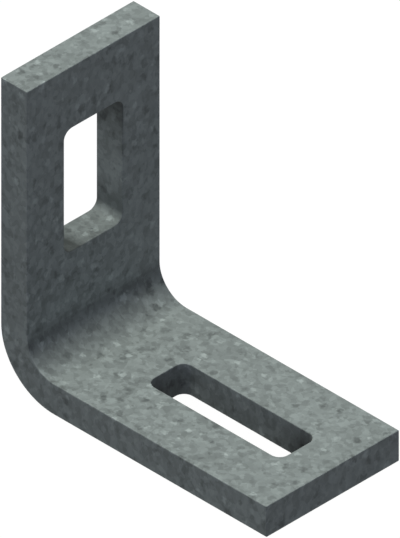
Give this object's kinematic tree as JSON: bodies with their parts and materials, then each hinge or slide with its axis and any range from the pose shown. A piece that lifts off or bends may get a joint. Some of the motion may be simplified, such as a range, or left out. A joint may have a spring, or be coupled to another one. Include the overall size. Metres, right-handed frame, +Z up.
{
  "type": "strut angle fitting",
  "caption": "Right-angle fitting folded from one thick flat steel bar, with a long slot through each leg and a radiused fold.",
  "frame": {"origin": "middle of the footprint, in the plane of the floor leg's underside", "axes": "+X from the heel towards the floor leg's toe, +Y across the bar's width, +Z up along the upright"},
  "size_m": [0.1, 0.05, 0.1],
  "materials": {
    "galvanised_steel": "hot-dip galvanised, dull grey with a fine mottle"
  },
  "bodies": {
    "root": {"angle_bracket": "galvanised_steel"}
  },
  "joints": []
}
